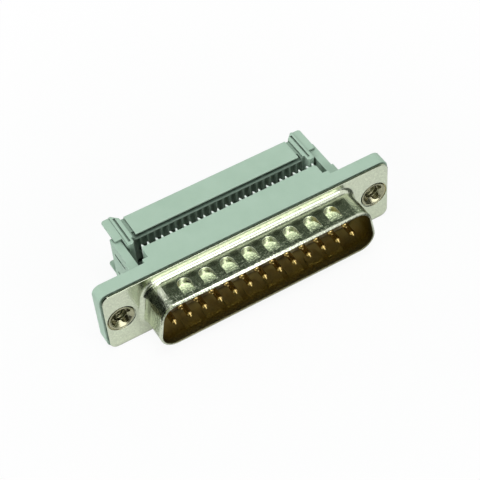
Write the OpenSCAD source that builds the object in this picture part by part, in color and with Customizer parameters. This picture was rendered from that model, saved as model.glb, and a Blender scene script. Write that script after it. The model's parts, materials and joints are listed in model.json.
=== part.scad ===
// D-subminiature plug for flat ribbon cable: two rows of pins in a drawn metal shell, blades that
// pierce the ribbon at the back, and a press-on cover that slides down on the housing's side arms.
// X runs along the connector, -Y is the mating side, +Y the cable side, Z is up.
// The origin is the centre of the mounting face, on the front of the flange.

/* [Contacts] */
// Contacts in the lower, longer row; the upper row has one fewer
long_row = 13; // [5:1:13]
// Pitch of the pins in a row
pin_pitch = 2.76; // [2.74:0.01:2.78]
// Distance between the two rows
row_gap = 2.84; // [2.7:0.02:3]
// Diameter of a pin
pin_d = 1.02; // [0.96:0.02:1.1]
// Reach of the pin tips in front of the mounting face
pin_reach = 4.6; // [4.2:0.1:5]
// Thickness of a piercing blade
blade_t = 0.36; // [0.3:0.02:0.4]
// Width of a piercing blade
blade_w = 1.56; // [1.4:0.02:1.6]
// Width of the wire slot between a blade's two tines
wire_slot = 0.28; // [0.22:0.02:0.36]

/* [Ribbon] */
// Pitch of the wires in the ribbon
wire_pitch = 1.27; // [1.26:0.01:1.28]
// Radius of the half-round seats for the wires in the cover
seat_r = 0.48; // [0.44:0.02:0.52]
// Height of the wire teeth on the back of the housing
tooth_h = 0.58; // [0.46:0.02:0.6]

/* [Flange] */
// Length of the flange
flange_w = 53.04; // [52.8:0.02:53.4]
// Height of the flange and of the housing behind it
flange_h = 12.55; // [12.3:0.05:12.8]
// Depth from the mounting face to the back of the flange
flange_d = 3; // [2.8:0.1:3.4]
// Distance between the two fixing holes
fixing_span = 47.04; // [46.9:0.02:47.2]
// Radius of the flange's corners
flange_r = 1.5; // [0.8:0.1:2]

/* [Shell] */
// Thickness of the shell's steel
sheet_t = 0.42; // [0.36:0.02:0.5]
// Inside width of the shell across its wide side
shell_w = 38.96; // [38.8:0.02:39.1]
// Inside height of the shell
shell_h = 8.36; // [8.3:0.02:8.42]
// Inside radius of the shell's corners
shell_r = 2.5; // [2.2:0.1:2.8]
// Slant of the shell's two ends
shell_slant = 10; // [9:0.5:11]
// Reach of the shell's rim in front of the mounting face
shell_reach = 5.85; // [5.6:0.05:6.1]
// Contact dimples on each long wall of the shell
dimples = 8; // [2:1:8]
// Pitch of the dimples
dimple_pitch = 3.83; // [3.4:0.01:3.9]

/* [Housing] */
// Width of the block behind the flange that holds the blades
block_w = 32.2; // [32:0.1:32.4]
// Depth from the mounting face to the tips of the housing's wire teeth
block_d = 6.58; // [6.4:0.02:6.6]
// Outside width over the two side arms
arms_w = 38.2; // [38:0.1:38.4]
// Thickness of a side arm
arm_t = 1.4; // [1.2:0.1:1.5]
// Height of a side arm
arm_h = 9.4; // [8.8:0.1:9.6]
// Depth from the mounting face to the end of a side arm
arm_d = 11.6; // [11.2:0.1:12]

/* [Cover] */
// Height of the cover
cover_h = 10.6; // [10.4:0.1:10.8]
// Depth from the mounting face to the front of the open cover
cover_front = 9.6; // [9.5:0.1:10]
// Thickness of the cover's bar
cover_t = 4.6; // [4:0.1:5]
// Width over the cover's guide rails
cover_w = 37.5; // [37:0.1:37.8]

/* [Hidden] */
contacts = 2 * long_row - 1;
middle = (contacts - 1) / 2;

plastic = [0.66, 0.74, 0.70];
dark_plastic = [0.08, 0.07, 0.06];
nickel = [0.80, 0.79, 0.74];
gold = [0.83, 0.68, 0.36];

// facets of large and small circles, overlap of joined pieces, play between fitted ones
smooth = 48;
fine = 24;
eps = 0.01;
play = 0.03;

// shell: plate, gap between it and the edge of the housing, fillet and rolled rim
plate_w = flange_w - 0.6;
plate_h = flange_h - 0.3;
plate_r = flange_r - 0.15;
plate_t = 0.36;
shadow_gap = 0.24;
fillet_r = 0.95;
rim_r = 0.16;
// dimples: round end, its depth below the wall and where the sloping floor begins and ends
dimple_r = 1.1;
dimple_back = 1.65;
dimple_front = 4.75;
dimple_depth = 0.6;

// front insulator: its face, its split from the housing and how far its back reaches past the D
boss_face = -0.2;
boss_play = 0.08;
boss_back = 1.55;
boss_flange = 1.2;

// inserts: barrel, rolled flare in its countersink, rear collar, bore and the four-lobed mouth
insert_r = 1.95;
flare_r = 2.28;
sink_r = 2.52;
collar_r = 2.7;
collar_t = 0.7;
thread_r = 1.2;
lobe_r = 0.62;
lobe_centre = 1.2;
lobe_depth = 0.85;
lobe_angle = 30;

// contacts: shank and collar held by the insulator, sideways jog, stem and forked end
shank_r = pin_d / 2 + 0.16;
shank_y = boss_face - 0.1;
collar_d = 1.7;
collar_y = [1.2, 1.9];
jog_y = [2.3, 4.1];
stem_w = 0.8;
blade_end = block_d + 0.95;
slot_start = block_d - 0.7;

// cover: legs beside the housing's block, rails over its arms, and the lip and ledge over the wire seats
leg_play = 0.1;
leg_x = [block_w / 2 + leg_play, arms_w / 2 - arm_t - 0.2];
leg_front = 8.35;
leg_groove = 0.38;
rail_front = 10.35;
rail_t = 0.5;
lug_back = cover_front + cover_t + 1.2;
stroke = 2.9;
blade_pocket_d = 1.5;
ledge_z = [4.2, 4.4];
lip_z = 5;
lip_back = 0.3;
lip_slot_d = 1;

// housing: a wire tooth's foot and tip beside its wire, block corners, sprung beam and latch nose, root ribs
tooth_x = [0.2, 0.48, 0.6, 0.68];
corner_r = 0.5;
beam_h = 3.9;
slit_h = 0.5;
slit_y = [5.6, 10.5];
nose_y = [8.85, 9.7];
nose_x = 0.4;
root_w = 1;
root_d = 3.8;

function contact_name(i) = str("contact_", i < 9 ? "0" : "", i + 1);
function is_lower(i) = i % 2 == 0;
function row_z(i) = (is_lower(i) ? -1 : 1) * row_gap / 2;
function pin_x(i) = (i - middle) * pin_pitch / 2;
function wire_x(i) = (i - middle) * wire_pitch;
function arc(cx, cy, r, a, b, n = 8) =
    [for (k = [0:n]) [cx + r * cos(a + (b - a) * k / n), cy + r * sin(a + (b - a) * k / n)]];

// ---- Orientation helpers ----

// Draws in the front view, x to the right and y up, and extrudes towards the mating side.
module front_view(y) {
    translate([0, y, 0]) rotate([90, 0, 0]) children();
}

// Repeats its children on the right and mirrored on the left.
module both_ends() {
    children();
    mirror([1, 0, 0]) children();
}

// Repeats its children above and mirrored below.
module top_and_bottom() {
    children();
    mirror([0, 0, 1]) children();
}

module block(from, to) {
    translate(from) cube(to - from);
}

// ---- Outlines in the front view ----

module rounded_rect(w, h, r) {
    square([w - 2 * r, h], center = true);
    square([w, h - 2 * r], center = true);
    for (x = [-1, 1], y = [-1, 1])
        translate([x * (w / 2 - r), y * (h / 2 - r)]) circle(r, $fn = smooth);
}

// Centres of the corner circles of the D, right-hand side: upper, then lower.
function d_upper() = [d_lower()[0] - (shell_h - 2 * shell_r) * tan(shell_slant), shell_h / 2 - shell_r];
function d_lower() = [shell_w / 2 - shell_r, -shell_h / 2 + shell_r];

// The D outline of the shell's inside, grown by g.
module d_outline(g) {
    r = shell_r + g;
    u = d_upper();
    l = d_lower();
    n = r * [cos(shell_slant), sin(shell_slant)];
    for (s = [-1, 1]) {
        translate([s * u[0], u[1]]) circle(r, $fn = smooth);
        translate([s * l[0], l[1]]) circle(r, $fn = smooth);
    }
    polygon([[u[0], u[1] + r], u + n, l + n, [l[0], l[1] - r],
             [-l[0], l[1] - r], [-l[0] - n[0], l[1] + n[1]],
             [-u[0] - n[0], u[1] + n[1]], [-u[0], u[1] + r]]);
}

// ---- Shell ----

// Section through the drawn wall: x outwards from its inner face, y towards the rim. Its root is sunk
// into the plate, and its inner side stands proud until the D is cut out.
rim_y = shell_reach - rim_r;
wall_section = concat([[-0.3, -plate_t / 2], [-0.3, shell_reach - 0.6]],
                      arc(rim_r, rim_y, rim_r, 150, 90, 3),
                      arc(sheet_t - rim_r, rim_y, rim_r, 90, 0, 3),
                      arc(sheet_t + fillet_r, fillet_r - 0.02, fillet_r, 180, 270, 8),
                      [[sheet_t + fillet_r, -plate_t / 2]]);

// Stations round the D, each a corner's centre and the way the wall faces there.
function turn(c, a, b, n = 11) = [for (k = [0:n]) [c, a + (b - a) * k / n]];
wall_path = concat(turn(d_lower(), -90, shell_slant),
                   turn(d_upper(), shell_slant, 90),
                   turn([-d_upper()[0], d_upper()[1]], 90, 180 - shell_slant),
                   turn([-d_lower()[0], d_lower()[1]], 180 - shell_slant, 270));

// The wall section swept round the D.
module drawn_wall() {
    n = len(wall_path);
    m = len(wall_section);
    polyhedron(
        points = [for (s = wall_path, p = wall_section)
                      [s[0][0] + (shell_r + p[0]) * cos(s[1]), s[0][1] + (shell_r + p[0]) * sin(s[1]), p[1]]],
        faces = [for (i = [0:n - 1], j = [0:m - 1], half = [0, 1])
                     let (here = i * m, next = (i + 1) % n * m, up = (j + 1) % m)
                         half == 0 ? [next + up, here + up, here + j] : [next + j, next + up, here + j]]);
}

// Plan of a dimple with its round end towards the flange, grown by g.
module dimple_plan(g) {
    translate([0, -dimple_back - dimple_r]) circle(dimple_r + g, $fn = fine);
    translate([-dimple_r - g, -dimple_front - 1])
        square([2 * dimple_r + 2 * g, dimple_front + 1 - dimple_back - dimple_r]);
}

// Space over a floor that slopes from the dimple's deep end up to the wall, lowered by g.
module dimple_space(g) {
    slope = atan2(dimple_depth, dimple_front - dimple_back);
    intersection() {
        translate([0, 0, -2]) linear_extrude(4) dimple_plan(g);
        translate([-3, -dimple_front, -g]) rotate([-slope, 0, 0]) cube([6, 6, 4]);
    }
}

module dimple_row() {
    for (k = [0:dimples - 1])
        translate([(k - (dimples - 1) / 2) * dimple_pitch, 0, shell_h / 2 + sheet_t]) children();
}

module shell() {
    color(nickel) difference() {
        union() {
            difference() {
                union() {
                    front_view(0) drawn_wall();
                    front_view(plate_t) linear_extrude(plate_t) rounded_rect(plate_w, plate_h, plate_r);
                }
                front_view(1) linear_extrude(shell_reach + 2) d_outline(0);
            }
            top_and_bottom() dimple_row() intersection() {
                dimple_space(sheet_t * 0.8);
                block([-2, -dimple_front, -2], [2, -1, -sheet_t / 2]);
            }
        }
        top_and_bottom() dimple_row() dimple_space(0);
        both_ends() translate([fixing_span / 2, 0, 0]) front_view(0) insert_seat();
    }
}

// ---- Threaded rivet inserts ----

// Section through the insert: x is the radius, y the depth in front of the mounting face.
module insert_section() {
    polygon([[thread_r, -flange_d - collar_t], [collar_r - 0.15, -flange_d - collar_t],
             [collar_r, -flange_d - collar_t + 0.15], [collar_r, -flange_d],
             [insert_r, -flange_d], [insert_r, -0.32], [flare_r, -0.1], [flare_r, -0.04],
             [flare_r - 0.2, 0], [flare_r - 0.3, -0.06], [thread_r + 0.25, -0.5], [thread_r, -0.75]]);
}

// Countersunk hole in the plate, a little wider than the insert's flare that is rolled into it.
module insert_seat() {
    rotate_extrude($fn = smooth)
        polygon([[0, -plate_t - eps], [insert_r + 0.04, -plate_t - eps], [insert_r + 0.04, -0.32],
                 [sink_r, -0.12], [sink_r, 1], [0, 1]]);
}

module insert() {
    color(nickel) front_view(0) difference() {
        rotate_extrude($fn = smooth) insert_section();
        for (a = [0:90:270])
            rotate([0, 0, a + lobe_angle]) translate([lobe_centre, 0, -lobe_depth])
                cylinder(r = lobe_r, h = 2, $fn = fine);
    }
}

module insert_left() {
    translate([-fixing_span / 2, 0, 0]) insert();
}

module insert_right() {
    translate([fixing_span / 2, 0, 0]) insert();
}

// ---- Contacts ----

// Outline of contact i's flat part in plan, its sides grown by g.
module blade_plan(i, g = 0) {
    p = pin_x(i);
    w = wire_x(i);
    s = stem_w / 2 + g;
    b = blade_w / 2 + g;
    polygon([[p - s, collar_y[0] + 0.2], [p + s, collar_y[0] + 0.2], [p + s, jog_y[0] - g],
             [w + b, jog_y[1] - g], [w + b, blade_end - 0.35], [w + b - 0.25, blade_end],
             [w - b + 0.25, blade_end], [w - b, blade_end - 0.35], [w - b, jog_y[1] - g],
             [p - s, jog_y[0] - g]]);
}

// The slot that takes the wire, with a flared mouth that guides it in.
module wire_slot_plan(i) {
    w = wire_x(i);
    h = wire_slot / 2;
    polygon([[w - h, slot_start], [w + h, slot_start], [w + h, blade_end - 0.45],
             [w + 0.45, blade_end + eps], [w - 0.45, blade_end + eps], [w - h, blade_end - 0.45]]);
}

// Section through the pin, its thicker shank in the insulator and the collar that holds it there.
module pin_section() {
    r = pin_d / 2;
    polygon(concat([[0, -collar_y[1]], [collar_d / 2, -collar_y[1]], [collar_d / 2, -collar_y[0]],
                    [shank_r, -collar_y[0]], [shank_r, -boss_face], [r, -shank_y]],
                   arc(0, pin_reach - 1.5 * r, r, 0, 55, 5),
                   [[0.12, pin_reach], [0, pin_reach]]));
}

module contact(i) {
    color(gold) {
        translate([pin_x(i), 0, row_z(i)]) front_view(0) rotate_extrude($fn = fine) pin_section();
        translate([0, 0, row_z(i) - blade_t / 2]) linear_extrude(blade_t) difference() {
            blade_plan(i);
            wire_slot_plan(i);
        }
    }
}

// The space that contact i's shank and collar fill, with a little play and a lead-in at the face.
module shank_cavity(i) {
    hole_r = shank_r + play;
    translate([pin_x(i), 0, row_z(i)]) front_view(0) rotate_extrude($fn = fine)
        polygon([[0, -collar_y[1] - play], [collar_d / 2 + play, -collar_y[1] - play],
                 [collar_d / 2 + play, -collar_y[0] + play], [hole_r, -collar_y[0] + play],
                 [hole_r, -boss_face - 0.25], [hole_r + 0.3, -boss_face + 0.05], [0, -boss_face + 0.05]]);
}

// The space that contact i's blade fills, with a little play.
module blade_cavity(i) {
    translate([0, 0, row_z(i) - blade_t / 2 - play]) linear_extrude(blade_t + 2 * play) blade_plan(i, play);
}

// ---- Front insulator ----

// The D-shaped face inside the shell, held behind the plate by its wider back.
module front_insulator() {
    color(dark_plastic) difference() {
        union() {
            front_view(boss_back) linear_extrude(boss_back - boss_face) d_outline(-boss_play);
            front_view(boss_back) linear_extrude(boss_back - plate_t) d_outline(boss_flange);
        }
        for (i = [0:contacts - 1]) shank_cavity(i);
    }
}

// ---- Housing ----

// Plan of the block behind the flange, with rounded rear corners. A pair of pointed teeth stands beside
// every other wire, and the wider gaps between the pairs let the upper blades through.
module block_plan() {
    back = block_d - tooth_h;
    translate([-block_w / 2, flange_d - 0.5]) square([block_w, back - corner_r - flange_d + 0.5]);
    translate([-block_w / 2 + corner_r, flange_d]) square([block_w - 2 * corner_r, back - flange_d]);
    for (s = [-1, 1])
        translate([s * (block_w / 2 - corner_r), back - corner_r]) circle(corner_r, $fn = fine);
    for (i = [0:2:contacts - 1], s = [-1, 1])
        translate([wire_x(i), 0])
            polygon([[s * tooth_x[0], back - corner_r], [s * tooth_x[0], back], [s * tooth_x[1], block_d],
                     [s * tooth_x[2], block_d], [s * tooth_x[3], back], [s * tooth_x[3], back - corner_r]]);
}

// One side arm: a guide for the cover, with a springy middle beam that carries a latch nose.
module side_arm() {
    inner = arms_w / 2 - arm_t;
    difference() {
        union() {
            block([inner, flange_d - 0.5, -arm_h / 2], [arms_w / 2, arm_d, arm_h / 2]);
            block([inner, flange_d - 0.5, -arm_h / 2], [arms_w / 2 + 0.3, flange_d + 2.9, arm_h / 2]);
        }
        top_and_bottom()
            block([inner - 1, slit_y[0], beam_h / 2], [arms_w / 2 + 1, slit_y[1], beam_h / 2 + slit_h]);
    }
    translate([0, 0, -beam_h / 2 + 0.15]) linear_extrude(beam_h - 0.3)
        polygon([[inner, nose_y[0]], [inner, nose_y[1] + 0.4], [inner - nose_x, nose_y[1]],
                 [inner - nose_x, nose_y[0]]]);
    block([block_w / 2 - 0.2, flange_d - 0.5, -flange_h / 2], [block_w / 2 + root_w, root_d, flange_h / 2]);
}

module housing() {
    color(plastic) difference() {
        union() {
            front_view(flange_d) linear_extrude(flange_d - plate_t - shadow_gap)
                rounded_rect(flange_w, flange_h, flange_r);
            front_view(flange_d) linear_extrude(flange_d - plate_t)
                rounded_rect(plate_w - 0.6, plate_h - 0.6, plate_r - 0.3);
            translate([0, 0, -flange_h / 2]) linear_extrude(flange_h) block_plan();
            both_ends() side_arm();
        }
        front_view(boss_back) linear_extrude(boss_back) d_outline(boss_flange + play);
        for (i = [0:contacts - 1]) {
            shank_cavity(i);
            blade_cavity(i);
        }
        both_ends() translate([fixing_span / 2, 0, 0]) front_view(flange_d + 1)
            cylinder(r = insert_r + play, h = flange_d + 2, $fn = smooth);
    }
}

// ---- Cover ----

// Plan of one end of the cover: the leg beside the block and the rail around the side arm.
module leg_plan() {
    back = cover_front + cover_t;
    polygon([[leg_x[0], leg_front + 0.3], [leg_x[0] + 0.3, leg_front], [leg_x[1] - 0.3, leg_front],
             [leg_x[1], leg_front + 0.3], [leg_x[1], back], [leg_x[0], back]]);
}

module rail_plan() {
    polygon([[leg_x[0], rail_front], [cover_w / 2 - 0.2, rail_front], [cover_w / 2, rail_front + 0.2],
             [cover_w / 2, lug_back - 0.3], [cover_w / 2 - 0.3, lug_back], [leg_x[0] + 0.8, lug_back],
             [leg_x[0] - 0.4, cover_front + cover_t], [leg_x[0] - 0.4, rail_front]]);
}

module cover_end() {
    top = cover_h / 2;
    difference() {
        translate([0, 0, -top]) linear_extrude(cover_h) leg_plan();
        block([leg_x[1] - leg_groove, nose_y[0] - 0.1, -beam_h / 2 - 0.1],
              [leg_x[1] + 1, nose_y[1] + stroke + 0.5, beam_h / 2 + 0.1]);
    }
    top_and_bottom() translate([0, 0, top - rail_t]) linear_extrude(rail_t) rail_plan();
}

// Half-round seats side by side, one for each wire.
module wire_seats() {
    for (i = [0:contacts - 1])
        translate([wire_x(i), cover_front, -ledge_z[0]]) cylinder(r = seat_r, h = 2 * ledge_z[0], $fn = fine);
}

module cover() {
    top = cover_h / 2;
    back = cover_front + cover_t;
    lip = cover_front + lip_back;
    lip_x = leg_x[0] - 0.6;
    color(plastic) difference() {
        union() {
            block([-leg_x[0] - eps, cover_front, -top], [leg_x[0] + eps, back, top]);
            both_ends() cover_end();
        }
        wire_seats();
        // the lip over the seats, set back from them over a slot and a narrow ledge
        top_and_bottom() {
            block([-lip_x, cover_front - 1, ledge_z[1]], [lip_x, lip + lip_slot_d, lip_z]);
            block([-lip_x, cover_front - 1, lip_z - eps], [lip_x, lip, top + 1]);
            translate([0, lip, top]) rotate([45, 0, 0]) cube([2 * lip_x - 0.1, 0.15, 0.15], center = true);
        }
        // a pocket for the tips of each blade
        for (i = [0:contacts - 1])
            translate([wire_x(i), cover_front, row_z(i)])
                cube([blade_w + 0.4, 2 * blade_pocket_d, blade_t + 0.5], center = true);
        // hollows that set the rails off from the bar, and the long groove in each rail
        both_ends() top_and_bottom() {
            block([leg_x[0] - 1, cover_front - 1, top - 0.35], [leg_x[0] - 0.3, back + 1, top + 1]);
            block([leg_x[0] + 0.35, 9, top - 0.3], [leg_x[0] + 0.7, back + 0.6, top + 1]);
            block([leg_x[1] - 0.2, rail_front - 3, top - 0.15], [cover_w, back + 2, top + 1]);
        }
    }
}

housing();
front_insulator();
shell();
insert_left();
insert_right();
cover();
for (i = [0:contacts - 1])
    contact(i);
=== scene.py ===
"""D-subminiature ribbon connector: finishes, threads and a plain studio round the fixed model.

Laid out as an add-on with a panel of settings. Lengths are in metres in the model's own frame:
X runs along the connector, -Y is the pin side and Z is up.
"""

import json
import math

import bmesh
import bpy
from mathutils import Matrix, Vector


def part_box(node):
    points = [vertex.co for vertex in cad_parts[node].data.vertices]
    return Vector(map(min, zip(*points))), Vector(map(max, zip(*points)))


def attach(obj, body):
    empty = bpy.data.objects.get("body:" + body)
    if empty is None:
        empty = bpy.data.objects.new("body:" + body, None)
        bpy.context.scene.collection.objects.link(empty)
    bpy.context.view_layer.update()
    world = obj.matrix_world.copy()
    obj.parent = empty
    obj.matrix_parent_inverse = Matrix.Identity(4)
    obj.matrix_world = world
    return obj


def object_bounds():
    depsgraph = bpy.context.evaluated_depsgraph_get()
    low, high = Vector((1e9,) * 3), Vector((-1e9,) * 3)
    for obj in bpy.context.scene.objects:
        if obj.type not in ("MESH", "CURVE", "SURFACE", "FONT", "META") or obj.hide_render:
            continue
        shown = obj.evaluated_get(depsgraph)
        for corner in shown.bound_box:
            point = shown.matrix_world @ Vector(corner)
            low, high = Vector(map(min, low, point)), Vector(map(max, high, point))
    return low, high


bl_info = {
    "name": "Ribbon connector finishes",
    "version": (1, 0, 0),
    "blender": (4, 5, 0),
    "location": "View3D > Sidebar > Connector",
    "description": "Moulded plastic, plated steel and gilt contacts for a D-subminiature plug",
    "category": "Object",
}

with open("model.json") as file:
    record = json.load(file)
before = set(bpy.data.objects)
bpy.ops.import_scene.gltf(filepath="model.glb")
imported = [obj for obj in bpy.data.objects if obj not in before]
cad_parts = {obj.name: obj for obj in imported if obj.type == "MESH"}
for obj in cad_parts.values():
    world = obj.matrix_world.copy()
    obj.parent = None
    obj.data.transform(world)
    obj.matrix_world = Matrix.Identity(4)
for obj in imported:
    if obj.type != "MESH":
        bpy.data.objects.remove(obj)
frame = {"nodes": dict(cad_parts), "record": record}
cad_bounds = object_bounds()
MM = 0.001
FLOOR_Z = cad_bounds[0][2]

# Where the finishes change, in millimetres, each span from and to. X and Z run out from the middle.
# Y runs back from the front face of the plate, so the shell's wall lies at negative values.
DIMPLE_PITCH = 3.83
DIMPLE_ROW_Y = 1.75  # in front of the plate
SPOT_HALF = (0.75, 0.6)  # half lengths along X and Y
PLATE_TO_WALL_Y = (-0.3, -0.9)
INSIDE_SHADE_Y = (-1.6, -4.0)
FLECKED_WALL_Y = (-2.6, -4.2)
STRETCHED_WALL_Y = (-3.2, -4.3)
MOUTH_Y = (-4.2, -5.6)
OFF_THE_RIM_Y = (-5.4, -5.1)
ROLLED_RIM_Y = (-5.42, -5.85)
INNER_FACE = (-1.0, -2.0)  # how far a face looks towards the middle of the D
PLATE_ENDS_X = (16.5, 19.0)
BLOCK_HALF_X = 16.1
TEETH_FOOT_Y = (6.0, 6.25)
TEETH_TIP_Y = 6.62
COMB_X = (16.4, 15.9)
COMB_Z = (5.25, 4.9)
COMB_FRONT_Y = (6.7, 7.3)
COMB_BACK_Y = (10.6, 10.2)
DEEP_CREVICES_Y = (5.2, 6.0)

D_SQUEEZE = (0.2, 0, 1)  # on a point, turns its line from the middle square to the D's walls
FORWARD = (0, -1, 0)

# Colours of wear, spots, crystals, painted highlights, painted shade and painted reflection.
WORN_AND_LIT_EDGE = (0.68, 0.82, 0.74)
TEETH_PAINTED_HIGHLIGHT = (0.9, 0.97, 0.92)
COMB_PAINTED_SHADE = (0.03, 0.055, 0.038)
PLASTIC_CREVICE_SHADE = (0.018, 0.036, 0.022)
DARK_SPOT = (0.10, 0.11, 0.05)
DARK_INSIDE_SHADE = (0.20, 0.13, 0.018)
PALE_GILT_REFLECTION = (0.36, 0.30, 0.075)
MOUTH_SHADE = (0.11, 0.10, 0.05)
DARK_FLECK = (0.26, 0.31, 0.22)
BRIGHT_FLECK = (0.97, 1.0, 0.86)
STEEL_CREVICE_SHADE = (0.16, 0.14, 0.05)
END_CREVICE_SHADE = (0.02, 0.022, 0.01)
INSERT_CREVICE_SHADE = (0.08, 0.07, 0.03)

# How much of them shows at most, and how dark the plating's dull patches are.
EDGE_WEAR_AND_HIGHLIGHT = 0.3
COMB_SHADE_SHARE = 0.42
PLASTIC_CREVICE_SHADE_SHARE = 0.9
DARK_SPOT_SHARE = 0.6
INSERT_CREVICE_SHADE_SHARE = 0.7
DULL_TIN = 0.78
DULL_METAL = 0.7

# Middle parts of a noise's values, which are spread over a whole effect.
WIDE_NOISE = (0.3, 0.7)
NOISE = (0.35, 0.65)
TIN_PATCHES = (0.38, 0.62)
INSULATOR_CLOUDS = (0.40, 0.62)

# Distances from the middle of a tin crystal at which it turns dark or bright.
DARK_CRYSTALS = (0.30, 0.50)
BRIGHT_CRYSTALS = (0.16, 0.04)

LINE_HEIGHT = 0.12  # of the drawing lines beside the crystals
INNER_WALL_ROUGHNESS = 0.16  # that the shell's inner faces add
MOULD_ROUGHNESS = 0.08  # to either side of the plastic's own
PLASTIC_IOR = 1.5

# Shape of a thread, the root and crest as shares of the pitch.
THREAD_SIDES = 40
THREAD_ROOT = 0.015 * MM
THREAD_RUN_OUT = 12  # sides over which it fades in and out
ROOT_HALF, CREST_HALF = 0.42, 0.07
THREAD_INSET = 0.4  # left free at each end

# The studio, with bearings and elevations in degrees and distances in metres.
FLOOR_HALF = 1.5
FLOOR_PAINT = (0.9, 0.9, 0.9)
WHITE_SHARE = (0.9, 1.0)  # of the floor as the camera sees it, near the part and away from it
OPEN_FLOOR = (35, 90)  # millimetres out, where the one share turns into the other
METAL_FLOOR = (40, 60)  # millimetres out, where the floor turns grey in metal
NEAR_SHARE_IN_METAL = 0.25
FAR_FLOOR_IN_METAL = (0.3, 0.32, 0.3)
FILL_STRENGTH = 0.36
FILL_COLOUR = (0.93, 1.0, 0.97)
CARD_COLUMNS, CARD_ROWS = 24, 8
CARDS = (
    # name, bearings, elevations, distance, colour
    ("overhead_card", (95, 186), (35, 84), 0.45, (0.065, 0.08, 0.055)),
    ("left_flag", (215, 292), (-12, 33), 0.036, (0.008, 0.01, 0.01)),
    ("right_flag", (55, 100), (-12, 8), 0.036, (0.08, 0.09, 0.08)),
    ("back_card", (95, 207), (3, 35), 0.46, (0.55, 0.60, 0.50)),
    ("front_card", (290, 345), (1, 26), 0.46, (0.03, 0.035, 0.03)),
    ("left_card", (268, 315), (3, 60), 0.46, (0.50, 0.58, 0.34)),
)
LAMP_DISTANCE = 0.6
LAMPS = (
    # name, bearing, elevation, width and height, watts, colour, whether polished metal shows it
    ("key", 10, 24, (0.45, 0.28), 1.0, (1, 1, 1), True),
    ("top", 0, 84, (0.35, 0.35), 1.5, (0.98, 1.0, 0.98), True),
    ("side", -80, 22, (0.3, 0.2), 1.2, (0.98, 0.98, 1.0), False),
)


# ---- Settings ----


class PlasticSettings(bpy.types.PropertyGroup):
    """Moulded plastic of the housing and the cover."""

    colour: bpy.props.FloatVectorProperty(
        name="Colour",
        description="Colour of the moulding compound",
        subtype="COLOR",
        size=3,
        min=0,
        max=1,
        default=(0.45, 0.60, 0.485),
    )
    shade: bpy.props.FloatVectorProperty(
        name="Shade",
        description="Colour of the slightly darker clouds in the compound",
        subtype="COLOR",
        size=3,
        min=0,
        max=1,
        default=(0.42, 0.57, 0.455),
    )
    roughness: bpy.props.FloatProperty(
        name="Roughness",
        description="Roughness of the spark-eroded mould finish",
        subtype="FACTOR",
        min=0,
        max=1,
        default=0.55,
    )
    edge_radius: bpy.props.FloatProperty(
        name="Edge radius",
        description="Radius to which moulded edges are eased in the shading",
        unit="LENGTH",
        min=0,
        max=0.0005,
        default=0.00012,
    )
    # The insulator's dark brown is partly the plastic's own colour and partly painted shade and a
    # painted gilt reflection inside the shell.
    insulator: bpy.props.FloatVectorProperty(
        name="Insulator",
        description="Colour of the dark insulator inside the shell",
        subtype="COLOR",
        size=3,
        min=0,
        max=1,
        default=(0.07, 0.045, 0.018),
    )
    insulator_cloud: bpy.props.FloatVectorProperty(
        name="Insulator clouds",
        description="Colour of the paler, dusty clouds on the insulator",
        subtype="COLOR",
        size=3,
        min=0,
        max=1,
        default=(0.24, 0.21, 0.13),
    )


class MetalSettings(bpy.types.PropertyGroup):
    """Plated steel of the shell and inserts, and the gilt contacts."""

    steel: bpy.props.FloatVectorProperty(
        name="Tin plating",
        description="Colour of the dipped tin plating",
        subtype="COLOR",
        size=3,
        min=0,
        max=1,
        default=(0.75, 0.80, 0.63),
    )
    # The inner plating's yellow is a painted reflection of the gilt contacts inside the shell.
    inside: bpy.props.FloatVectorProperty(
        name="Inner plating",
        description="Yellowed colour of the plating inside the shell",
        subtype="COLOR",
        size=3,
        min=0,
        max=1,
        default=(0.66, 0.58, 0.27),
    )
    rim_ease: bpy.props.FloatProperty(
        name="Rim easing",
        description="Radius to which the drawn edges of the shell are eased in the shading",
        unit="LENGTH",
        min=0,
        max=0.0005,
        default=0.00012,
    )
    insert: bpy.props.FloatVectorProperty(
        name="Insert plating",
        description="Colour of the plating on the screw inserts",
        subtype="COLOR",
        size=3,
        min=0,
        max=1,
        default=(0.44, 0.43, 0.29),
    )
    gilt: bpy.props.FloatVectorProperty(
        name="Gilt",
        description="Colour of the gold flash on the contacts",
        subtype="COLOR",
        size=3,
        min=0,
        max=1,
        default=(0.66, 0.49, 0.19),
    )
    thread_pitch: bpy.props.FloatProperty(
        name="Thread pitch",
        description="Pitch of the threads in the screw inserts, 40 turns to the inch",
        unit="LENGTH",
        min=0.0004,
        max=0.0008,
        default=0.000635,
    )
    thread_height: bpy.props.FloatProperty(
        name="Thread height",
        description="How far the thread stands in from the wall of the bore",
        unit="LENGTH",
        min=0.00002,
        max=0.0002,
        default=0.00011,
    )


class StageSettings(bpy.types.PropertyGroup):
    """Place and lens of the camera."""

    azimuth: bpy.props.FloatProperty(
        name="Azimuth",
        description="Bearing of the camera from the front, towards the left-hand end",
        subtype="ANGLE",
        default=math.radians(-26.03),
    )
    elevation: bpy.props.FloatProperty(
        name="Elevation",
        description="Height of the camera above the horizon",
        subtype="ANGLE",
        default=math.radians(48.9),
    )
    roll: bpy.props.FloatProperty(
        name="Roll",
        description="Turn of the camera about its own line of sight",
        subtype="ANGLE",
        default=math.radians(-5.72),
    )
    distance: bpy.props.FloatProperty(
        name="Distance",
        description="Distance from the camera to the point it looks at",
        unit="LENGTH",
        min=0.05,
        max=1,
        default=0.22354,
    )
    lens: bpy.props.FloatProperty(
        name="Lens",
        description="Focal length on a sensor 36 mm wide",
        unit="CAMERA",
        min=20,
        max=300,
        default=106.3,
    )
    aim: bpy.props.FloatVectorProperty(
        name="Aim",
        description="Point that the camera looks at",
        subtype="TRANSLATION",
        size=3,
        default=(-0.00179, 0, 0.00473),
    )


GROUPS = {
    "connector_plastic": PlasticSettings,
    "connector_metal": MetalSettings,
    "connector_stage": StageSettings,
}


# ---- Node helpers ----


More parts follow.
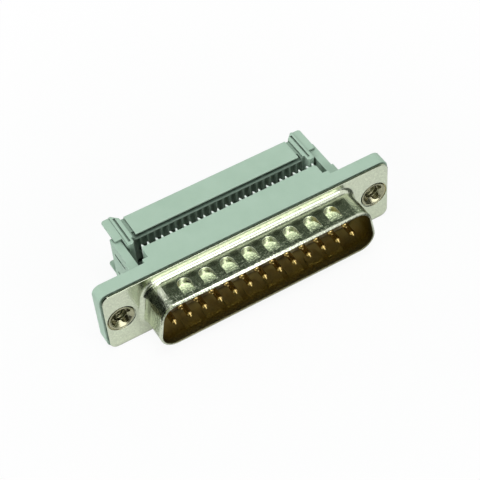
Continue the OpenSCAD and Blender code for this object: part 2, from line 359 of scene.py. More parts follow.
def link(tree, source, target):
    tree.links.new(source, target)


def feed(tree, value, socket):
    """Links a socket to the input, or sets the input to a plain value."""
    if isinstance(value, bpy.types.NodeSocket):
        link(tree, value, socket)
    else:
        socket.default_value = value


def add_node(tree, kind, place=(0, 0), **values):
    """A node of that kind, with its named inputs or properties set."""
    node = tree.nodes.new(kind)
    node.location = place
    for name, value in values.items():
        if hasattr(node, name):
            setattr(node, name, value)
        else:
            node.inputs[name.replace("_", " ")].default_value = value
    return node


def new_group(name, inputs, outputs):
    """An empty shader group with those sockets; an input also has its default."""
    tree = bpy.data.node_groups.new(name, "ShaderNodeTree")
    for socket_name, kind, default in inputs:
        socket = tree.interface.new_socket(socket_name, in_out="INPUT", socket_type=kind)
        if default is not None:
            socket.default_value = default
    for socket_name, kind in outputs:
        tree.interface.new_socket(socket_name, in_out="OUTPUT", socket_type=kind)
    entry = add_node(tree, "NodeGroupInput", (-900, 0))
    leave = add_node(tree, "NodeGroupOutput", (900, 0))
    return tree, entry.outputs, leave.inputs


def use_group(tree, name, place, coords=None, **values):
    """The outputs of the named shader group placed in a material, with its inputs set."""
    node = tree.nodes.new("ShaderNodeGroup")
    node.node_tree = bpy.data.node_groups[name]
    node.location = place
    if coords:
        link(tree, coords, node.inputs["Vector"])
    for socket_name, value in values.items():
        feed(tree, value, node.inputs[socket_name.replace("_", " ")])
    return node.outputs


def empty_tree(owner, output, place):
    """The cleared node tree of a material or world, and the surface socket of its new output."""
    owner.use_nodes = True
    tree = owner.node_tree
    tree.nodes.clear()
    return tree, add_node(tree, output, place).inputs["Surface"]


def new_material(name):
    """A material with a Principled shader, and the place of each point in the model's own frame."""
    material = bpy.data.materials.new(name)
    tree, surface = empty_tree(material, "ShaderNodeOutputMaterial", (900, 0))
    shader = add_node(tree, "ShaderNodeBsdfPrincipled", (600, 0))
    link(tree, shader.outputs["BSDF"], surface)
    coords = add_node(tree, "ShaderNodeTexCoord", (-1200, 0))
    return material, tree, shader, coords.outputs["Object"]


def split(tree, vector, place):
    """The X, Y and Z of a vector socket."""
    node = add_node(tree, "ShaderNodeSeparateXYZ", place)
    link(tree, vector, node.inputs[0])
    return node.outputs["X"], node.outputs["Y"], node.outputs["Z"]


def map_range(tree, source, span, values=(0.0, 1.0), place=(0, 0)):
    """Source mapped from the span to the pair of values, and held at its ends."""
    node = add_node(tree, "ShaderNodeMapRange", place)
    link(tree, source, node.inputs["Value"])
    for name, value in zip(("From Min", "From Max", "To Min", "To Max"), (*span, *values)):
        node.inputs[name].default_value = value
    return node.outputs["Result"]


def map_mm(tree, source, span, values=(0.0, 1.0), place=(0, 0)):
    """The same, for a length whose span is in millimetres."""
    return map_range(tree, source, (span[0] * MM, span[1] * MM), values, place)


def mix_colour(tree, mask, first, second, place=(0, 0)):
    """First and second are colours or colour sockets."""
    node = add_node(tree, "ShaderNodeMix", place, data_type="RGBA")
    link(tree, mask, node.inputs[0])
    for socket, value in ((node.inputs[6], first), (node.inputs[7], second)):
        feed(tree, value if isinstance(value, bpy.types.NodeSocket) else (*value, 1), socket)
    return node.outputs[2]


def darker(colour, share):
    return tuple(c * share for c in colour)


def maths(tree, operation, first, second=0.0, place=(0, 0)):
    """First and second are numbers or sockets."""
    node = add_node(tree, "ShaderNodeMath", place, operation=operation)
    feed(tree, first, node.inputs[0])
    feed(tree, second, node.inputs[1])
    return node.outputs[0]


def vector_maths(tree, operation, *vectors, place=(0, 0)):
    """The vector that the operation makes of vectors or vector sockets."""
    node = add_node(tree, "ShaderNodeVectorMath", place, operation=operation)
    for vector, socket in zip(vectors, node.inputs):
        feed(tree, vector, socket)
    return node.outputs[0]


def measure(tree, operation, *vectors, place=(0, 0)):
    """The number that the operation makes of vectors: a dot product or a length."""
    return vector_maths(tree, operation, *vectors, place=place).node.outputs[1]


def noise(tree, vector, place, scale, **values):
    """The texture node of a noise; scale is a number or a socket."""
    node = add_node(tree, "ShaderNodeTexNoise", place, **values)
    link(tree, vector, node.inputs["Vector"])
    feed(tree, scale, node.inputs["Scale"])
    return node


def finish(tree, shader, colour, roughness, height, normal, strength, depth):
    """Feeds the shader its colour and roughness, and the normal bumped by the height."""
    link(tree, colour, shader.inputs["Base Color"])
    link(tree, roughness, shader.inputs["Roughness"])
    bump = add_node(tree, "ShaderNodeBump", (300, -250), Strength=strength, Distance=depth)
    link(tree, height, bump.inputs["Height"])
    link(tree, normal, bump.inputs["Normal"])
    link(tree, bump.outputs["Normal"], shader.inputs["Normal"])


# ---- Shared effects ----

NUMBER, VECTOR = "NodeSocketFloat", "NodeSocketVector"


def build_grain_group():
    """Fine pits and wide clouds, such as a mould's eroded finish has."""
    tree, given, made = new_group(
        "surface_grain",
        [("Vector", VECTOR, None), ("Pit size", NUMBER, 9000.0), ("Cloud size", NUMBER, 260.0)],
        [("Pits", NUMBER), ("Clouds", NUMBER)],
    )
    pits = noise(tree, given["Vector"], (0, 200), given["Pit size"], Detail=4.0, Roughness=0.65)
    clouds = noise(tree, given["Vector"], (0, -200), given["Cloud size"], Detail=5.0, Roughness=0.6)
    link(tree, pits.outputs["Fac"], made["Pits"])
    link(tree, clouds.outputs["Fac"], made["Clouds"])


def build_edge_group():
    """A mask of the outer edges and a normal that eases them, within a radius."""
    tree, given, made = new_group(
        "eased_edges",
        [("Radius", NUMBER, 0.0001)],
        [("Edges", NUMBER), ("Normal", VECTOR)],
    )
    bevel = add_node(tree, "ShaderNodeBevel", (0, 0), samples=8)
    link(tree, given["Radius"], bevel.inputs["Radius"])
    eased = bevel.outputs["Normal"]
    own = add_node(tree, "ShaderNodeNewGeometry", (0, -250)).outputs["Normal"]
    turn = measure(tree, "DOT_PRODUCT", eased, own, place=(250, -100))
    link(tree, map_range(tree, turn, (1.0, 0.75), place=(500, -100)), made["Edges"])
    link(tree, eased, made["Normal"])


def build_crevice_shade_group():
    """A mask of the corners and gaps, from occlusion and broken up by noise, where painted shade
    darkens the colour.
    """
    tree, given, made = new_group(
        "painted_crevice_shade",
        [("Vector", VECTOR, None), ("Reach", NUMBER, 0.0008)],
        [("Mask", NUMBER)],
    )
    occlusion = add_node(tree, "ShaderNodeAmbientOcclusion", (0, 0), samples=8)
    link(tree, given["Reach"], occlusion.inputs["Distance"])
    dust = noise(tree, given["Vector"], (0, -250), scale=1800.0, Detail=3.0)
    depth = map_range(tree, occlusion.outputs["AO"], (0.9, 0.35), place=(250, 0))
    speckle = map_range(tree, dust.outputs["Fac"], WIDE_NOISE, (0.55, 1.0), (250, -250))
    link(tree, maths(tree, "MULTIPLY", depth, speckle, (500, 0)), made["Mask"])


def build_mottle_group():
    """Crystal patches and fine drawing lines of dipped tin on drawn steel."""
    tree, given, made = new_group(
        "plating_mottle",
        [
            ("Vector", VECTOR, None),
            ("Patch size", NUMBER, 1500.0),
            ("Line stretch", VECTOR, (1.0, 0.08, 1.0)),
        ],
        [("Patches", NUMBER), ("Lines", NUMBER), ("Crystals", NUMBER)],
    )
    point = given["Vector"]
    warp = noise(tree, point, (-500, 200), scale=900.0, Detail=2.0)
    sway = (0.9 * MM,) * 3
    shifted = vector_maths(
        tree, "MULTIPLY_ADD", warp.outputs["Color"], sway, point, place=(-250, 200)
    )
    patches = noise(tree, shifted, (0, 200), given["Patch size"], Detail=6.0, Roughness=0.72)
    drawn = vector_maths(tree, "MULTIPLY", point, given["Line stretch"], place=(-250, -200))
    lines = noise(tree, drawn, (0, -200), scale=7000.0, Detail=3.0)
    crystals = add_node(tree, "ShaderNodeTexVoronoi", (0, 0), feature="F1", Randomness=1.0)
    link(tree, shifted, crystals.inputs["Vector"])
    link(tree, given["Patch size"], crystals.inputs["Scale"])
    link(tree, patches.outputs["Fac"], made["Patches"])
    link(tree, lines.outputs["Fac"], made["Lines"])
    link(tree, crystals.outputs["Distance"], made["Crystals"])


# ---- Materials ----


def teeth_highlight_mask(tree, coords):
    """Mask of the housing's wire teeth towards their tips, where a painted highlight lightens them.
    """
    x, y, _ = split(tree, coords, (-1200, -600))
    rise = map_mm(tree, y, TEETH_FOOT_Y, place=(-900, -600))
    end = maths(tree, "LESS_THAN", y, TEETH_TIP_Y * MM, (-900, -750))
    side = maths(tree, "ABSOLUTE", x, place=(-900, -900))
    inside = maths(tree, "LESS_THAN", side, BLOCK_HALF_X * MM, (-700, -900))
    tooth = maths(tree, "MULTIPLY", rise, end, (-500, -700))
    return maths(tree, "MULTIPLY", tooth, inside, (-300, -700))


def comb_shade_mask(tree, coords):
    """Mask of the gap between housing and cover, where painted shade darkens the combed faces."""
    x, y, z = split(tree, coords, (-900, -1000))
    height = maths(tree, "ABSOLUTE", z, place=(-700, -1100))
    across = maths(tree, "ABSOLUTE", x, place=(-700, -1000))
    low = map_mm(tree, height, COMB_Z, place=(-500, -1100))
    between = map_mm(tree, across, COMB_X, place=(-500, -1000))
    front = map_mm(tree, y, COMB_FRONT_Y, place=(-500, -1250))
    back = map_mm(tree, y, COMB_BACK_Y, place=(-500, -1400))
    face = maths(tree, "MULTIPLY", low, between, (-300, -1050))
    depth = maths(tree, "MULTIPLY", front, back, (-300, -1250))
    return maths(tree, "MULTIPLY", face, depth, (-100, -1100))


def plastic_material():
    look = bpy.context.scene.connector_plastic
    material, tree, shader, coords = new_material("sage_moulding")
    _, y, _ = split(tree, coords, (-1350, -300))
    # The occlusion reaches further in the slot behind the block, so the painted shade there is
    # deeper.
    reach = map_mm(tree, y, DEEP_CREVICES_Y, (0.6 * MM, 2.2 * MM), (-1100, -300))
    grain = use_group(tree, "surface_grain", (-900, 300), coords)
    edges = use_group(tree, "eased_edges", (-900, 0), Radius=look.edge_radius)
    crevice_shade = use_group(tree, "painted_crevice_shade", (-900, -300), coords, Reach=reach)
    clouds = map_range(tree, grain["Clouds"], NOISE, place=(-600, 300))
    base = mix_colour(tree, clouds, look.shade, look.colour, (-350, 300))
    # Edges lightened: partly rubbing wear, partly a painted highlight along the edges.
    worn_and_lit_edges = maths(tree, "MULTIPLY", edges["Edges"], EDGE_WEAR_AND_HIGHLIGHT, (-350, 100))
    toned = mix_colour(tree, worn_and_lit_edges, base, WORN_AND_LIT_EDGE, (-100, 300))
    # Teeth lightened towards their tips: a painted highlight.
    teeth_lit = mix_colour(tree, teeth_highlight_mask(tree, coords), toned, TEETH_PAINTED_HIGHLIGHT, (0, 300))
    # The gap between housing and cover darkened: painted shade.
    comb_shade = maths(tree, "MULTIPLY", comb_shade_mask(tree, coords), COMB_SHADE_SHARE, (0, -700))
    comb_shaded = mix_colour(tree, comb_shade, teeth_lit, COMB_PAINTED_SHADE, (100, 300))
    # Crevices darkened: painted shade, broken by noise.
    shade_in_crevices = maths(tree, "MULTIPLY", crevice_shade["Mask"], PLASTIC_CREVICE_SHADE_SHARE, (0, 100))
    crevice_shaded = mix_colour(tree, shade_in_crevices, comb_shaded, PLASTIC_CREVICE_SHADE, (200, 300))
    spread = (look.roughness - MOULD_ROUGHNESS, look.roughness + MOULD_ROUGHNESS)
    rough = map_range(tree, grain["Pits"], WIDE_NOISE, spread, (150, 0))
    shader.inputs["IOR"].default_value = PLASTIC_IOR
    bump = {"strength": 0.25, "depth": 0.02 * MM}
    finish(tree, shader, crevice_shaded, rough, grain["Pits"], edges["Normal"], **bump)
    return material


def between_dimples(tree, coords):
    """Mask of the dark spots on the wall between the dimples."""
    x, y, _ = split(tree, coords, (-1200, 600))
    turns = maths(tree, "DIVIDE", x, DIMPLE_PITCH * MM, (-1000, 700))
    nearest = maths(tree, "ROUND", turns, place=(-850, 620))
    along = maths(tree, "SUBTRACT", turns, nearest, (-700, 700))
    along = maths(tree, "MULTIPLY", along, DIMPLE_PITCH / SPOT_HALF[0], (-550, 700))
    across = maths(tree, "ADD", y, DIMPLE_ROW_Y * MM, (-850, 800))
    across = maths(tree, "DIVIDE", across, SPOT_HALF[1] * MM, (-700, 800))
    along = maths(tree, "MULTIPLY", along, along, (-500, 700))
    across = maths(tree, "MULTIPLY", across, across, (-500, 800))
    spot = maths(tree, "ADD", along, across, (-400, 750))
    return map_range(tree, spot, (0.3, 1.6), (1.0, 0.0), (-250, 750))


def inner_wall(tree, coords):
    """Mask of the shell's inner faces, which look towards the middle of the D."""
    facing = add_node(tree, "ShaderNodeTexCoord", (-1200, -700)).outputs["Normal"]
    outward = vector_maths(tree, "MULTIPLY", coords, D_SQUEEZE, place=(-1000, -850))
    away = measure(tree, "DOT_PRODUCT", facing, outward, place=(-800, -750))
    return map_mm(tree, away, INNER_FACE, place=(-600, -750))


def rolled_rim(tree, coords, normal, inside):
    """Turns the normal over the rim, as the trimmed edge of a drawn sheet rolls outwards."""
    _, y, _ = split(tree, coords, (-400, -1000))
    near = map_mm(tree, y, ROLLED_RIM_Y, (0.0, 2.0), (-200, -1000))
    outside = maths(tree, "SUBTRACT", 1.0, inside, (-200, -1100))
    near = maths(tree, "MULTIPLY", near, outside, (0, -1000))
    outward = vector_maths(tree, "MULTIPLY", coords, D_SQUEEZE, place=(-400, -1200))
    outward = vector_maths(tree, "NORMALIZE", outward, place=(-200, -1200))
    turn = vector_maths(tree, "ADD", outward, FORWARD, place=(0, -1200))
    share = vector_maths(tree, "SCALE", turn, place=(200, -1200))
    link(tree, near, share.node.inputs["Scale"])
    total = vector_maths(tree, "ADD", normal, share, place=(400, -1200))
    return vector_maths(tree, "NORMALIZE", total, place=(600, -1200))


def painted_inside(tree, y, patches):
    """Colour inside the shell, yellowed and then browned towards the mouth: a painted reflection of
    the gilt contacts and painted shade.
    """
    inside = bpy.context.scene.connector_metal.inside
    depth = map_mm(tree, y, INSIDE_SHADE_Y, place=(-600, 700))
    mouth = map_mm(tree, y, MOUTH_Y, place=(-900, 900))
    inside_shade = mix_colour(tree, patches, DARK_INSIDE_SHADE, PALE_GILT_REFLECTION, (-800, 1100))
    inside_shade = mix_colour(tree, mouth, inside_shade, MOUTH_SHADE, (-600, 900))
    return mix_colour(tree, depth, inside, inside_shade, (-350, 700))


def flecked_wall(tree, y, crystals, colour):
    """The colour broken up by dark and bright crystals where the wall is drawn thin."""
    drawn = map_mm(tree, y, FLECKED_WALL_Y, (0.15, 0.8), (-1100, 1300))
    off_rim = map_mm(tree, y, OFF_THE_RIM_Y, place=(-1100, 1500))
    drawn = maths(tree, "MULTIPLY", drawn, off_rim, (-900, 1300))
    dark = map_range(tree, crystals, DARK_CRYSTALS, place=(-900, 1500))
    dark = maths(tree, "MULTIPLY", dark, drawn, (-700, 1500))
    colour = mix_colour(tree, dark, colour, DARK_FLECK, (-200, 1300))
    bright = map_range(tree, crystals, BRIGHT_CRYSTALS, place=(-900, 1700))
    bright = maths(tree, "MULTIPLY", bright, drawn, (-700, 1700))
    return mix_colour(tree, bright, colour, BRIGHT_FLECK, (-150, 1500))


def crystal_height(tree, y, mottle):
    """Height of the tin's crystals, coarse on the drawn wall, and of its fine lines."""
    drawn = map_mm(tree, y, STRETCHED_WALL_Y, (0.12, 0.85), (-600, -500))
    wall = map_mm(tree, y, PLATE_TO_WALL_Y, (0.15, 1.0), (-600, -650))
    share = maths(tree, "MULTIPLY", drawn, wall, (-300, -550))
    crystals = maths(tree, "ADD", mottle["Patches"], mottle["Crystals"], (-300, -400))
    crystals = maths(tree, "MULTIPLY", crystals, share, (-100, -400))
    lines = maths(tree, "MULTIPLY", mottle["Lines"], LINE_HEIGHT, (-100, -500))
    return maths(tree, "ADD", crystals, lines, (100, -400))


def plated_steel_material():
    look = bpy.context.scene.connector_metal
    material, tree, shader, coords = new_material("tinned_steel")
    x, y, _ = split(tree, coords, (-1350, -500))
    mottle = use_group(tree, "plating_mottle", (-900, 300), coords, Patch_size=2600.0)
    edges = use_group(tree, "eased_edges", (-900, 0), Radius=look.rim_ease)
    crevice_shade = use_group(tree, "painted_crevice_shade", (-900, -300), coords, Reach=0.7 * MM)
    patches = map_range(tree, mottle["Patches"], TIN_PATCHES, place=(-750, 300))
    drawn = map_range(tree, mottle["Lines"], NOISE, place=(-750, 500))
    patch_half = maths(tree, "MULTIPLY", patches, 0.5, (-600, 300))
    drawn_half = maths(tree, "MULTIPLY", drawn, 0.5, (-600, 500))
    cloud = maths(tree, "ADD", patch_half, drawn_half, (-450, 400))
    base = mix_colour(tree, cloud, darker(look.steel, DULL_TIN), look.steel, (-350, 300))
    spots = maths(tree, "MULTIPLY", between_dimples(tree, coords), DARK_SPOT_SHARE, (-350, 500))
    toned = mix_colour(tree, spots, base, DARK_SPOT, (-200, 300))
    inside = inner_wall(tree, coords)
    flecked = flecked_wall(tree, y, mottle["Crystals"], toned)
    # Inner faces take the painted reflection and painted shade inside the shell.
    inside_painted = mix_colour(tree, inside, flecked, painted_inside(tree, y, patches), (-100, 300))
    # Crevices darkened as painted shade, darkest in the fillets at the ends of the plate.
    across = maths(tree, "ABSOLUTE", x, place=(-600, -850))
    ends = map_mm(tree, across, PLATE_ENDS_X, (0.45, 1.0), (-400, -850))
    shade_in_crevices = mix_colour(tree, ends, STEEL_CREVICE_SHADE, END_CREVICE_SHADE, (-200, -850))
    crevice_share = maths(tree, "MULTIPLY", crevice_shade["Mask"], ends, (-200, -700))
    crevice_shaded = mix_colour(tree, crevice_share, inside_painted, shade_in_crevices, (0, 300))
    rough = map_range(tree, mottle["Patches"], NOISE, (0.26, 0.12), (150, 0))
    duller = maths(tree, "MULTIPLY", inside, INNER_WALL_ROUGHNESS, (150, -100))
    rough = maths(tree, "ADD", rough, duller, (300, 0))
    shader.inputs["Metallic"].default_value = 1.0
    height = crystal_height(tree, y, mottle)
    rim = rolled_rim(tree, coords, edges["Normal"], inside)
    finish(tree, shader, crevice_shaded, rough, height, rim, strength=0.6, depth=0.08 * MM)
    return material


def insulator_material():
    look = bpy.context.scene.connector_plastic
    material, tree, shader, coords = new_material("dark_insulator")
    sizes = {"Pit_size": 7000.0, "Cloud_size": 500.0}
    grain = use_group(tree, "surface_grain", (-900, 300), coords, **sizes)
    edges = use_group(tree, "eased_edges", (-900, 0), Radius=look.edge_radius)
    clouds = map_range(tree, grain["Clouds"], INSULATOR_CLOUDS, place=(-600, 300))
    # Dark brown: partly the plastic's own colour, partly painted shade and painted gilt reflection.
    base = mix_colour(tree, clouds, look.insulator, look.insulator_cloud, (-350, 300))
    rough = map_range(tree, grain["Pits"], WIDE_NOISE, (0.34, 0.48), (150, 0))
    bump = {"strength": 0.2, "depth": 0.02 * MM}
    finish(tree, shader, base, rough, grain["Pits"], edges["Normal"], **bump)
    return material


def turned_metal_material():
    look = bpy.context.scene.connector_metal
    material, tree, shader, coords = new_material("turned_metal")
    sizes = {"Patch_size": 2500.0, "Line_stretch": (0.3, 2.0, 0.3)}
    mottle = use_group(tree, "plating_mottle", (-900, 300), coords, **sizes)
    edges = use_group(tree, "eased_edges", (-900, 0), Radius=0.08 * MM)
    crevice_shade = use_group(tree, "painted_crevice_shade", (-900, -300), coords, Reach=0.9 * MM)
    dull = darker(look.insert, DULL_METAL)
    base = mix_colour(tree, mottle["Patches"], dull, look.insert, (-350, 300))
    # Recesses of the insert darkened: painted shade.
    crevice_share = maths(tree, "MULTIPLY", crevice_shade["Mask"], INSERT_CREVICE_SHADE_SHARE, (-350, -300))
    crevice_shaded = mix_colour(tree, crevice_share, base, INSERT_CREVICE_SHADE, (-100, 300))
    rough = map_range(tree, mottle["Lines"], WIDE_NOISE, (0.18, 0.32), (150, 0))
    shader.inputs["Metallic"].default_value = 1.0
    bump = {"strength": 0.3, "depth": 0.02 * MM}
    finish(tree, shader, crevice_shaded, rough, mottle["Lines"], edges["Normal"], **bump)
    return material


def gilt_material():
    look = bpy.context.scene.connector_metal
    material, tree, shader, coords = new_material("gilt_contact")
    mottle = use_group(tree, "plating_mottle", (-900, 300), coords, Patch_size=2600.0)
    edges = use_group(tree, "eased_edges", (-900, 0), Radius=0.05 * MM)
    dull = darker(look.gilt, DULL_METAL)
    base = mix_colour(tree, mottle["Patches"], dull, look.gilt, (-350, 300))
    rough = map_range(tree, mottle["Lines"], WIDE_NOISE, (0.14, 0.26), (150, 0))
    shader.inputs["Metallic"].default_value = 1.0
    bump = {"strength": 0.2, "depth": 0.01 * MM}
    finish(tree, shader, base, rough, mottle["Lines"], edges["Normal"], **bump)
    return material


def wear(node_name, material):
    """Gives a fixed CAD node that material."""
    mesh = frame["nodes"][node_name].data
    mesh.materials.clear()
    mesh.materials.append(material)


def shared(name, make):
    """The material of that name, made once."""
    return bpy.data.materials.get(name) or make()


# ---- Pieces ----


def add_object(name, data):
    item = bpy.data.objects.new(name, data)
    bpy.context.scene.collection.objects.link(item)
    return item


def make_thread(name, bore_r, length, back):
    """A helical ridge on the wall of a bore along Y that ends at the depth back."""
    look = bpy.context.scene.connector_metal
    pitch = look.thread_pitch
    wall = bore_r + THREAD_ROOT
    steps = int((length - 2 * THREAD_INSET * pitch) / pitch * THREAD_SIDES)
    start = back - length + THREAD_INSET * pitch
    mesh = bmesh.new()
    rings = []
    for step in range(steps + 1):
        angle = math.tau * step / THREAD_SIDES
        middle = start + pitch * step / THREAD_SIDES
        taper = min(1.0, step / THREAD_RUN_OUT, (steps - step) / THREAD_RUN_OUT)
        crest = wall - THREAD_ROOT - look.thread_height * taper
        section = (
            (wall, -ROOT_HALF * pitch),
            (crest, -CREST_HALF * pitch),
            (crest, CREST_HALF * pitch),
            (wall, ROOT_HALF * pitch),
        )
        rings.append([
            mesh.verts.new((r * math.cos(angle), middle + y, r * math.sin(angle)))
            for r, y in section
        ])
    for first, second in zip(rings, rings[1:]):
        for side in range(4):
            after = (side + 1) % 4
            mesh.faces.new((first[side], second[side], second[after], first[after]))
    mesh.faces.new(rings[0])
    mesh.faces.new(reversed(rings[-1]))
    bmesh.ops.recalc_face_normals(mesh, faces=mesh.faces)
    data = bpy.data.meshes.new(name)
    mesh.to_mesh(data)
    mesh.free()
    return add_object(name, data)


class CONNECTOR_OT_effects(bpy.types.Operator):
    """Builds the shader groups that the finishes share"""

    bl_idname = "connector.effects"
    bl_label = "Shared effects"

    def execute(self, context):
        build_grain_group()
        build_edge_group()
        build_crevice_shade_group()
        build_mottle_group()
        return {"FINISHED"}


class CONNECTOR_OT_plastics(bpy.types.Operator):
    """Finishes the housing and the cover in moulded plastic"""

    bl_idname = "connector.plastics"
    bl_label = "Housing and cover"

    def execute(self, context):
        material = shared("sage_moulding", plastic_material)
        wear("housing", material)
        wear("cover", material)
        return {"FINISHED"}


class CONNECTOR_OT_insulator(bpy.types.Operator):
    """Finishes the dark insulator that holds the pins inside the shell"""

    bl_idname = "connector.insulator"
    bl_label = "Front insulator"

    def execute(self, context):
        wear("front_insulator", shared("dark_insulator", insulator_material))
        return {"FINISHED"}


class CONNECTOR_OT_shell(bpy.types.Operator):
    """Finishes the drawn shell in dipped tin"""

    bl_idname = "connector.shell"
    bl_label = "Metal shell"

    def execute(self, context):
        wear("shell", shared("tinned_steel", plated_steel_material))
        return {"FINISHED"}


class CONNECTOR_OT_inserts(bpy.types.Operator):
    """Finishes the screw inserts"""

    bl_idname = "connector.inserts"
    bl_label = "Screw inserts"

    def execute(self, context):
        material = shared("turned_metal", turned_metal_material)
        for name in ("insert_left", "insert_right"):
            wear(name, material)
        return {"FINISHED"}


class CONNECTOR_OT_threads(bpy.types.Operator):
    """Cuts a fine thread in the bore of each screw insert"""

    bl_idname = "connector.threads"
    bl_label = "Insert threads"

    def execute(self, context):
        material = shared("turned_metal", turned_metal_material)
        mounts = frame["record"]["mounts"]
        bores = {m["name"]: m for m in mounts if m["kind"] == "threaded_hole"}
        for side in ("left", "right"):
            bore = bores["fixing_" + side]
            radius, length = bore["dims"]["r_mm"] * MM, bore["dims"]["length_mm"] * MM
            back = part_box("insert_" + side)[1][1]
            thread = make_thread("thread_" + side, radius, length, back)
            x, _, z = bore["pos_m"]
            thread.data.transform(Matrix.Translation((x, 0, z)))
            thread.data.materials.append(material)
            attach(thread, "plug")
        return {"FINISHED"}


class CONNECTOR_OT_contacts(bpy.types.Operator):
    """Finishes the pins and blades in gold flash"""

    bl_idname = "connector.contacts"
    bl_label = "Contacts"

    def execute(self, context):
        material = shared("gilt_contact", gilt_material)
        for name in frame["nodes"]:
            if name.startswith("contact_"):
                wear(name, material)
        return {"FINISHED"}


# ---- Stage ----


def aim_matrix(place, target, roll=0.0):
    """World matrix of a camera or lamp at place that looks at target."""
    back = (place - target).normalized()
    right = Vector((0, 0, 1)).cross(back).normalized()
    up = back.cross(right)
    turned = right * math.cos(roll) + up * math.sin(roll)
    rotation = Matrix((turned, back.cross(turned), back)).transposed()
    return Matrix.Translation(place) @ rotation.to_4x4()


def polar(azimuth, elevation, distance):
    """The offset at that bearing: azimuth 0 is in front, positive to the right."""
    flat = distance * math.cos(elevation)
    rise = distance * math.sin(elevation)
    return Vector((flat * math.sin(azimuth), -flat * math.cos(azimuth), rise))


def floor_material():
    """White to the camera save for the shadow, and greyer in metal away from the part."""
    material = bpy.data.materials.new("pale_floor")
    tree, surface = empty_tree(material, "ShaderNodeOutputMaterial", (600, 0))
    paint = add_node(tree, "ShaderNodeBsdfDiffuse", (0, -150))
    paint.inputs["Color"].default_value = (*FLOOR_PAINT, 1)
    glow = add_node(tree, "ShaderNodeEmission", (0, 150), Strength=1.0)
    ray = add_node(tree, "ShaderNodeLightPath", (-600, 300)).outputs
    spot = add_node(tree, "ShaderNodeTexCoord", (-1200, 0)).outputs["Object"]
    away = measure(tree, "LENGTH", spot, place=(-1000, 0))
    seen = maths(tree, "MAXIMUM", ray["Is Camera Ray"], ray["Is Transmission Ray"], (-400, 300))
    white = map_mm(tree, away, OPEN_FLOOR, WHITE_SHARE, (-800, 200))
    direct = maths(tree, "MULTIPLY", seen, white, (-200, 300))
    beyond = map_mm(tree, away, METAL_FLOOR, place=(-800, 0))
    reflected = maths(tree, "MAXIMUM", beyond, NEAR_SHARE_IN_METAL, (-600, 0))
    mirrored = maths(tree, "MULTIPLY", ray["Is Glossy Ray"], reflected, (-200, 150))
    share = maths(tree, "MAXIMUM", direct, mirrored, (0, 300))
    dim = maths(tree, "MULTIPLY", ray["Is Glossy Ray"], beyond, (-400, -50))
    shade = mix_colour(tree, dim, (1, 1, 1), FAR_FLOOR_IN_METAL, (-200, -50))
    link(tree, shade, glow.inputs["Color"])
    mix = add_node(tree, "ShaderNodeMixShader", (300, 0))
    for source, socket in zip((share, paint.outputs[0], glow.outputs[0]), mix.inputs):
        link(tree, source, socket)
    link(tree, mix.outputs[0], surface)
    return material


def stage_object(name, corners, faces, material):
    mesh = bpy.data.meshes.new(name)
    mesh.from_pydata(corners, [], faces)
    mesh.materials.append(material)
    return add_object(name, mesh)


def make_floor():
    corners = [
        (x * FLOOR_HALF, y * FLOOR_HALF, FLOOR_Z) for x, y in ((-1, -1), (1, -1), (1, 1), (-1, 1))
    ]
    floor = stage_object("floor", corners, [(0, 1, 2, 3)], floor_material())


def sweep(ends, step, steps):
    """The angle in radians at that step between two angles in degrees."""
    first, last = ends
    return math.radians(first + (last - first) * step / steps)


def make_card(name, bearings, elevations, reach, colour):
    """A curved card seen only in polished metal, as is set round tin and chrome in a studio."""
    corners = [
        tuple(polar(
            sweep(bearings, column, CARD_COLUMNS), sweep(elevations, row, CARD_ROWS), reach
        ))
        for row in range(CARD_ROWS + 1)
        for column in range(CARD_COLUMNS + 1)
    ]
    across = CARD_COLUMNS + 1
    starts = [
        row * across + column for row in range(CARD_ROWS) for column in range(CARD_COLUMNS)
    ]
    faces = [(i, i + 1, i + across + 1, i + across) for i in starts]
    material = bpy.data.materials.new(name + "_cloth")
    tree, surface = empty_tree(material, "ShaderNodeOutputMaterial", (300, 0))
    cloth = add_node(tree, "ShaderNodeEmission", (0, 0), Strength=1.0)
    cloth.inputs["Color"].default_value = (*colour, 1)
    link(tree, cloth.outputs[0], surface)
    card = stage_object(name, corners, faces, material)
    card.visible_camera = False
    card.visible_diffuse = False
    card.visible_shadow = False
    card.visible_transmission = False


def make_world():
    """White wherever it is seen, and a weaker fill for the light it gives."""
    world = bpy.data.worlds.new("studio")
    bpy.context.scene.world = world
    tree, surface = empty_tree(world, "ShaderNodeOutputWorld", (600, 0))
    white = add_node(tree, "ShaderNodeBackground", (0, 150), Strength=1.0)
    fill = add_node(tree, "ShaderNodeBackground", (0, -150), Strength=FILL_STRENGTH)
    white.inputs["Color"].default_value = (1, 1, 1, 1)
    fill.inputs["Color"].default_value = (*FILL_COLOUR, 1)
    ray = add_node(tree, "ShaderNodeLightPath", (-600, 300)).outputs
    seen = maths(tree, "MAXIMUM", ray["Is Camera Ray"], ray["Is Glossy Ray"], (-400, 300))
    seen = maths(tree, "MAXIMUM", seen, ray["Is Transmission Ray"], (-200, 300))
    mix = add_node(tree, "ShaderNodeMixShader", (300, 0))
    for source, socket in zip((seen, fill.outputs[0], white.outputs[0]), mix.inputs):
        link(tree, source, socket)
    link(tree, mix.outputs[0], surface)


def make_lamp(name, bearing, elevation, size, watts, colour, in_metal):
    """A soft lamp, which may be kept out of the polished surfaces."""
    data = bpy.data.lights.new(name, "AREA")
    data.shape = "RECTANGLE"
    data.size, data.size_y = size
    data.energy = watts
    data.color = colour
    lamp = add_object(name, data)
    lamp.visible_glossy = in_metal
    place = polar(math.radians(bearing), math.radians(elevation), LAMP_DISTANCE)
    lamp.matrix_world = aim_matrix(place, Vector((0, 0, 0)))


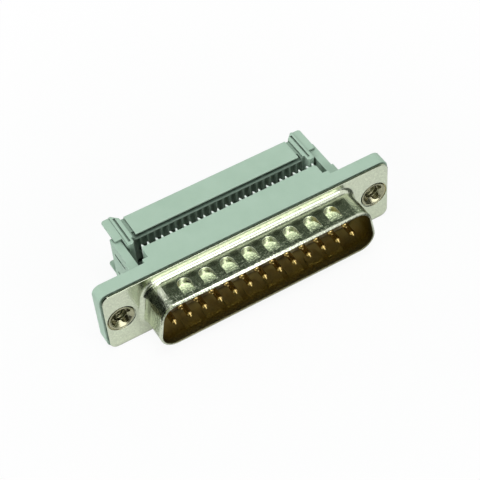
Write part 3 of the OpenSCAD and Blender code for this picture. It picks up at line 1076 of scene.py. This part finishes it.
def make_camera():
    look = bpy.context.scene.connector_stage
    data = bpy.data.cameras.new("camera")
    data.sensor_width = 36
    data.lens = look.lens
    data.clip_start = 0.005
    camera = add_object("camera", data)
    target = Vector(look.aim)
    place = target + polar(look.azimuth, look.elevation, look.distance)
    camera.matrix_world = aim_matrix(place, target, look.roll)
    bpy.context.scene.camera = camera


class CONNECTOR_OT_stage(bpy.types.Operator):
    """Sets the floor, the cards, the world, the lamps and the camera"""

    bl_idname = "connector.stage"
    bl_label = "Studio"

    def execute(self, context):
        context.scene.view_settings.view_transform = "Standard"
        make_floor()
        for card in CARDS:
            make_card(*card)
        make_world()
        for lamp in LAMPS:
            make_lamp(*lamp)
        make_camera()
        return {"FINISHED"}


# ---- Add-on ----

STEPS = (
    CONNECTOR_OT_effects,
    CONNECTOR_OT_plastics,
    CONNECTOR_OT_insulator,
    CONNECTOR_OT_shell,
    CONNECTOR_OT_inserts,
    CONNECTOR_OT_threads,
    CONNECTOR_OT_contacts,
    CONNECTOR_OT_stage,
)


class CONNECTOR_PT_panel(bpy.types.Panel):
    """Lists the settings and the steps"""

    bl_idname = "CONNECTOR_PT_panel"
    bl_label = "Ribbon connector"
    bl_space_type = "VIEW_3D"
    bl_region_type = "UI"
    bl_category = "Connector"

    def draw(self, context):
        for group_name, group in GROUPS.items():
            box = self.layout.box()
            for name in group.__annotations__:
                box.prop(getattr(context.scene, group_name), name)
        for step in STEPS:
            self.layout.operator(step.bl_idname)


CLASSES = (*GROUPS.values(), *STEPS, CONNECTOR_PT_panel)


def register():
    for cls in CLASSES:
        bpy.utils.register_class(cls)
    for name, group in GROUPS.items():
        setattr(bpy.types.Scene, name, bpy.props.PointerProperty(type=group))


def unregister():
    for name in GROUPS:
        delattr(bpy.types.Scene, name)
    for cls in reversed(CLASSES):
        bpy.utils.unregister_class(cls)


def main():
    register()
    for step in STEPS:
        group, name = step.bl_idname.split(".")
        getattr(getattr(bpy.ops, group), name)()


if __name__ == "__main__":
    main()
